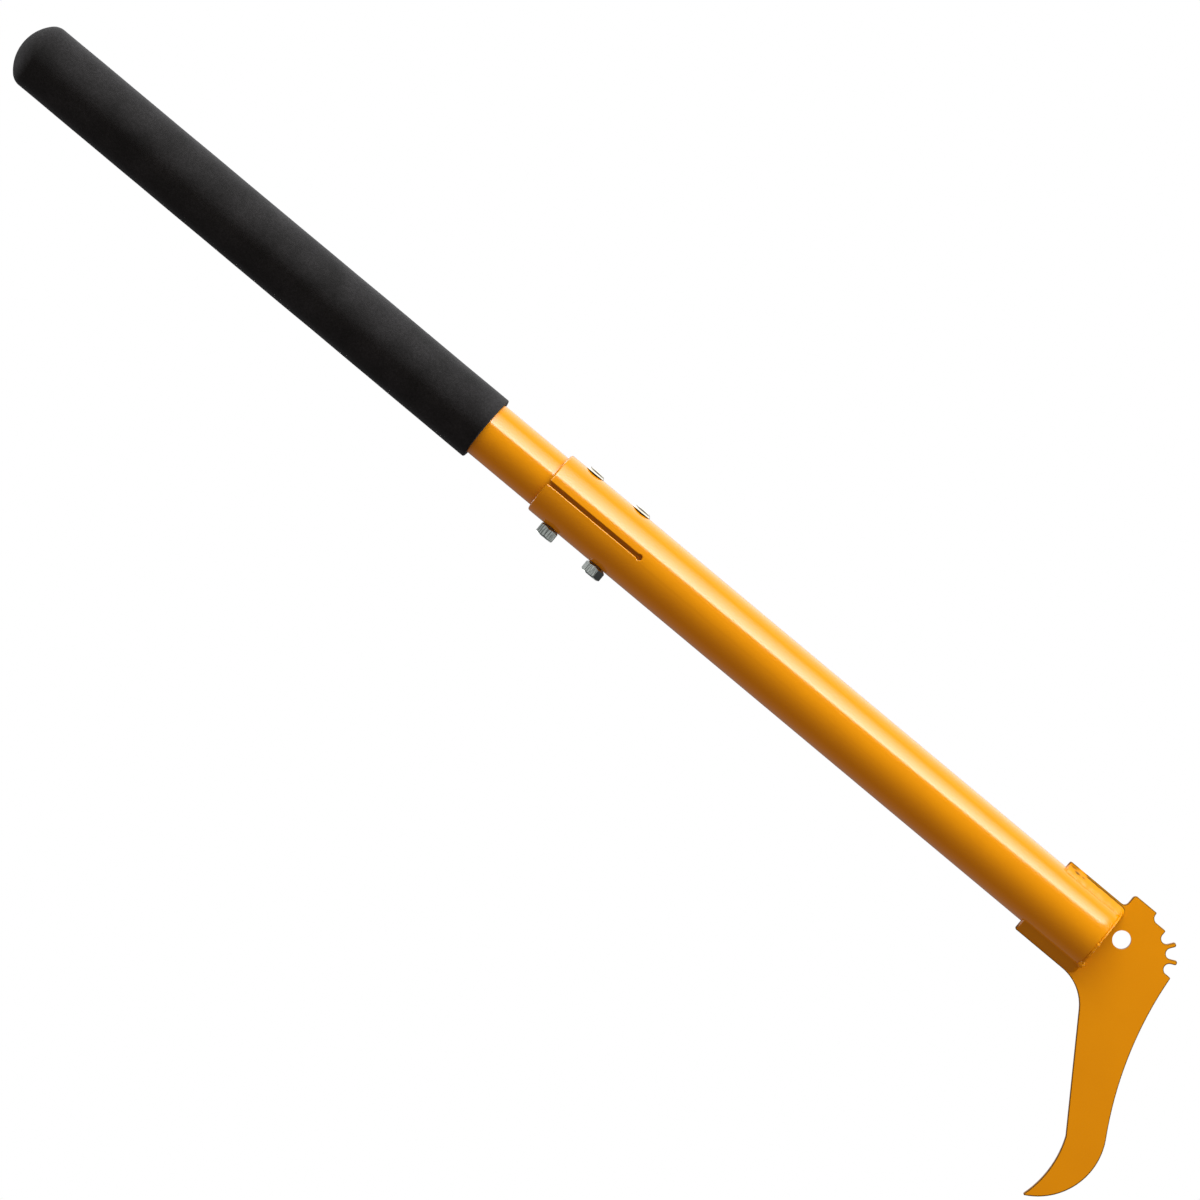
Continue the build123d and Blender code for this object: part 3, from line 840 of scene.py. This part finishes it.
# Glow of the cards mirrored in bolt heads and nut chamfers: by the surface's lean off the bolt's line, and
# by its turn about that line towards the hook, both in degrees
HEAD_TONES = ((0, 1.6), (29, 1.6), (36, 0.0), (49, 0.0), (53, 3.2), (65, 3.2), (69, 0.3), (88, 0.3))
HEAD_ENDS = ((-86, 1.0), (62, 1.0), (70, 0.1), (86, 0.1))
CHAMFER_TONES = ((18, 1.0), (42, 1.0))
CHAMFER_ENDS = (
    (-86, 0.2), (-72, 2.2), (-42, 2.2), (-32, 0.0), (24, 0.0), (34, 0.4), (60, 0.4), (74, 0.0), (86, 0.0),
)


class HOOKAROON_OT_stage(bpy.types.Operator):
    """Sets the white floor, the soft studio lights and the camera"""
    bl_idname = "hookaroon.stage"
    bl_label = "Set the stage"

    def execute(self, context):
        scene = context.scene
        finish = scene.hookaroon.finish
        scene.view_settings.view_transform = "Standard"
        self.surround(scene, finish)
        self.floor(finish.floor)
        self.lamps(finish)
        self.low_cards(finish.lamp)
        self.nut_card(finish.lamp)
        self.mirror_card("head_card", 1, HEAD_TONES, HEAD_ENDS, finish.lamp, BOLTS)
        self.mirror_card("chamfer_card", -1, CHAMFER_TONES, CHAMFER_ENDS, finish.lamp, NUTS)
        self.strip_card(finish.lamp)
        self.camera(scene)
        return {"FINISHED"}

    def surround(self, scene, finish):
        """Warm dim fill, with the white floor's glow in reflections from below on the lamps' side."""
        fill_level, dimmest, brightest = 0.38, 0.06, 1.6
        world = bpy.data.worlds.new("studio_surround")
        world.use_nodes = True
        tree = world.node_tree
        tree.nodes.clear()
        place = add(tree, "TexCoord")
        axes = add(tree, "SeparateXYZ", {"Vector": place.outputs["Generated"]})
        below = add(tree, "MapRange", {"Value": axes.outputs["Z"], "From Min": 0.1, "From Max": -0.65})
        lamp_side = add(tree, "MapRange", {"Value": axes.outputs["Y"], "From Min": 0.05, "From Max": 0.45,
                                           "To Min": 0.12})
        hook_end = add(tree, "MapRange", {"Value": axes.outputs["X"], "From Min": 0.6, "From Max": 0.35})
        glow = add(tree, "Math", {0: below, 1: lamp_side}, operation="MULTIPLY")
        lit = add(tree, "Math", {0: glow, 1: hook_end}, operation="MULTIPLY")
        shine = add(tree, "MapRange", {"Value": lit, "To Min": dimmest, "To Max": brightest})
        glossy = add(tree, "LightPath").outputs["Is Glossy Ray"]
        mirrored = add(tree, "Background", {"Color": rgba(finish.floor), "Strength": shine})
        fill = add(tree, "Background", {"Color": rgba(finish.fill), "Strength": fill_level})
        either = add(tree, "MixShader", {0: glossy, 1: fill, 2: mirrored})
        add(tree, "OutputWorld", {"Surface": either})
        scene.world = world

    def floor(self, colour):
        """Plain white floor just under the grip."""
        half, gap = 20.0, 0.2 * MM
        level = min(grip_lo.z, lower_lo.z) - gap
        corners = [(x * half, y * half, level) for x, y in ((-1, -1), (1, -1), (1, 1), (-1, 1))]
        mesh = bpy.data.meshes.new("floor")
        mesh.from_pydata(corners, [], [(0, 1, 2, 3)])
        white, tree = blank_material("white_floor")
        lit = add(tree, "Emission", {"Color": rgba(colour)})
        add(tree, "OutputMaterial", {"Surface": lit})
        mesh.materials.append(white)
        sheet = new_object("floor", mesh)
        sheet.visible_glossy = False
        sheet.visible_diffuse = False

    def lamps(self, finish):
        """A long lamp lights the steel. Distant ones light the foam from both sides, below and behind."""
        key_lean, key_breadth, key_level, key_target = 63, 0.9, 4.65, -0.2
        key_ends = [over_handle(x, key_lean) for x in (-1.3, 0.9)]
        key = soft_light("key_light", key_ends, key_breadth, key_target, key_level, finish.lamp)
        link_light(key, FOAM, "EXCLUDE")
        grip_x = (grip_lo.x + grip_hi.x) / 2
        reach, breadth = 6.0, 1.2
        # Lean from straight up towards +Y and turn towards the domed end, both in degrees, level and colour
        for name, lean_deg, behind_deg, level, colour in (
                ("foam_light", 80, -30, 270, finish.foam_lamp),
                ("foam_fill", -55, 0, 14, finish.foam_fill),
                ("foam_bounce", -150, 0, 115, finish.foam_lamp),
                ("dome_light", 55, 82, 190, finish.foam_lamp)):
            lean, behind = np.radians((lean_deg, behind_deg))
            back, aside = np.sin(behind), np.cos(behind)
            place = over_handle(grip_x, lean_deg, reach * aside) - Vector((reach * back, 0, 0))
            half = breadth / 2 * Vector((aside, back * np.sin(lean), back * np.cos(lean)))
            lamp = soft_light(name, (place - half, place + half), breadth, grip_x, level, colour)
            link_light(lamp, FOAM, "INCLUDE", ["floor"])

    def low_cards(self, colour):
        """Upright cards below the horizon, before and behind, which show in rims and corners alone."""
        others = FOAM + BOLTS + NUTS + ["hook_plate"]
        sides, bottom = (-1.0, 1.2), -1.7
        # Place along the handle, top edge, power, and the pieces that it is kept to or kept off
        for name, x, top, power, names, state in (
                ("rear_card", -1.6, -0.7, 3.0, others, "EXCLUDE"),
                ("front_card", 1.2, -0.7, 3.0, others, "EXCLUDE"),
                ("bead_card", 1.15, -0.1, 5.0, BEADS, "INCLUDE")):
            y, z = np.meshgrid(sides, (bottom, top), indexing="ij")
            card = glow_card(name, np.stack([x + 0 * y, y, z], -1), 1.0, power, colour, "NONE")
            link_light(card, names, state)

    def nut_card(self, colour):
        """Card bent round the clamp at 1 m, seen only in the nuts, whose glow by angle tones the facets."""
        lean_deg = np.arange(NUT_TONES[0][0], NUT_TONES[-1][0] + 1.0)[:, None]
        lean = np.radians(lean_deg)
        y = np.array([[-0.2, 0.2]])
        points = np.stack([clamp_x + np.sin(lean) + 0 * y, axis_y + y + 0 * lean, np.cos(lean) + 0 * y], -1)
        card = glow_card("nut_card", points, level_at(lean_deg, NUT_TONES), 1.0, colour, "NONE")
        link_light(card, NUTS, "INCLUDE")

    def mirror_card(self, name, side, tones, ends, colour, names):
        """Card before one end of the bolts, seen only in the pieces named, whose glow tones their ends.

        Each of its points is where a surface that leans off the bolt's line by one angle, and is turned
        about that line by another, mirrors what it sends straight up. The first two degrees of lean are
        left out, where the points would draw together.
        """
        left_out, reach = 2, 0.9
        lean_deg = np.arange(tones[0][0] + left_out, tones[-1][0], 1.0)[:, None]
        turn_deg = np.arange(ends[0][0], ends[-1][0] + 1, 2.0)[None, :]
        lean, turn = np.radians(lean_deg), np.radians(turn_deg)
        upward = np.sin(lean) * np.cos(turn)
        mirrored = np.stack([2 * upward * np.sin(lean) * np.sin(turn), side * 2 * upward * np.cos(lean),
                             2 * upward ** 2 - 1], -1)
        clamp = np.array([clamp_x, axis_y + side * lower_r, 0])
        glow = level_at(lean_deg, tones) * level_at(turn_deg, ends)
        link_light(glow_card(name, clamp + reach * mirrored, glow, 1.0, colour, "NONE"), names, "INCLUDE")

    def strip_card(self, colour):
        """Curved glowing card over the handle, seen only in reflections, for the long highlight.

        It lies on a cylinder about the handle, from a first edge that leans further over towards the hook,
        as a straight line plus an exponential, to just below the horizon. Its glow rises over a few degrees
        at that edge, and falls from there as a power of the share still to go plus an exponential.
        """
        power, reach = 12.8, 1.2
        lean_at_hole, lean_per_m = 41.2, 20.6
        flare_deg, flare_length, flare_end = 3, 0.078, 0.1
        soft_deg, last_deg = 5.0, 92
        fall, edge_glow, edge_share = 1.25, 0.55, 0.12
        x = np.linspace(-1.3, 0.12, 41)[:, None]
        share = np.linspace(0, 1, 31)[None, :] ** 1.5
        first = lean_at_hole + lean_per_m * x + flare_deg * np.exp(np.minimum(x, flare_end) / flare_length)
        lean_deg = first - soft_deg / 2 + (last_deg - first + soft_deg / 2) * share
        lean = np.radians(lean_deg)
        points = np.stack([x + 0 * lean, axis_y + reach * np.sin(lean), reach * np.cos(lean)], -1)
        rise = np.clip((lean_deg - first) / soft_deg + 0.5, 0, 1)
        glow = rise * ((1 - share) ** fall + edge_glow * np.exp(-share / edge_share))
        card = glow_card("strip_card", points, glow, power, colour)
        link_light(card, FOAM + BOLTS + NUTS + ["hook_plate"], "EXCLUDE")

    def camera(self, scene):
        """Camera nearly straight above, turned so that the handle runs down to the right."""
        data = bpy.data.cameras.new("camera")
        data.sensor_width = 36.0
        target = Vector((-0.3081, -0.0367, 0))
        place = Vector((-0.2143, 0.0568, 3.0))
        picture_width = 0.6001
        turn = np.radians(39.84)
        data.lens = data.sensor_width * (place - target).length / picture_width
        scene.camera = new_object("camera", data)
        aim(scene.camera, place, target, (np.cos(turn), np.sin(turn), 0))


class HOOKAROON_PT_panel(bpy.types.Panel):
    """Lists the steps that dress the hookaroon"""
    bl_idname = "HOOKAROON_PT_panel"
    bl_label = "Hookaroon"
    bl_space_type = "VIEW_3D"
    bl_region_type = "UI"
    bl_category = "Hookaroon"

    def draw(self, context):
        settings = context.scene.hookaroon
        for step in STEPS:
            self.layout.operator(step.bl_idname)
        for group in (settings.grip, settings.weld, settings.nut, settings.finish):
            column = self.layout.column(align=True)
            for key in group.__annotations__:
                column.prop(group, key)


STEPS = (HOOKAROON_OT_steelwork, HOOKAROON_OT_weld_beads, HOOKAROON_OT_foam_grip, HOOKAROON_OT_fasteners,
         HOOKAROON_OT_stage)
CLASSES = (GripSizes, WeldSizes, NutSizes, Finishes, HookaroonSettings, *STEPS, HOOKAROON_PT_panel)


def register():
    """Registers the classes and gives each scene its settings."""
    for kind in CLASSES:
        bpy.utils.register_class(kind)
    bpy.types.Scene.hookaroon = bpy.props.PointerProperty(type=HookaroonSettings)


def unregister():
    """Takes back what register did."""
    del bpy.types.Scene.hookaroon
    for kind in reversed(CLASSES):
        bpy.utils.unregister_class(kind)


def main():
    """Runs every step in order."""
    register()
    bpy.ops.hookaroon.steelwork()
    bpy.ops.hookaroon.weld_beads()
    bpy.ops.hookaroon.foam_grip()
    bpy.ops.hookaroon.fasteners()
    bpy.ops.hookaroon.stage()


if __name__ == "__main__":
    main()
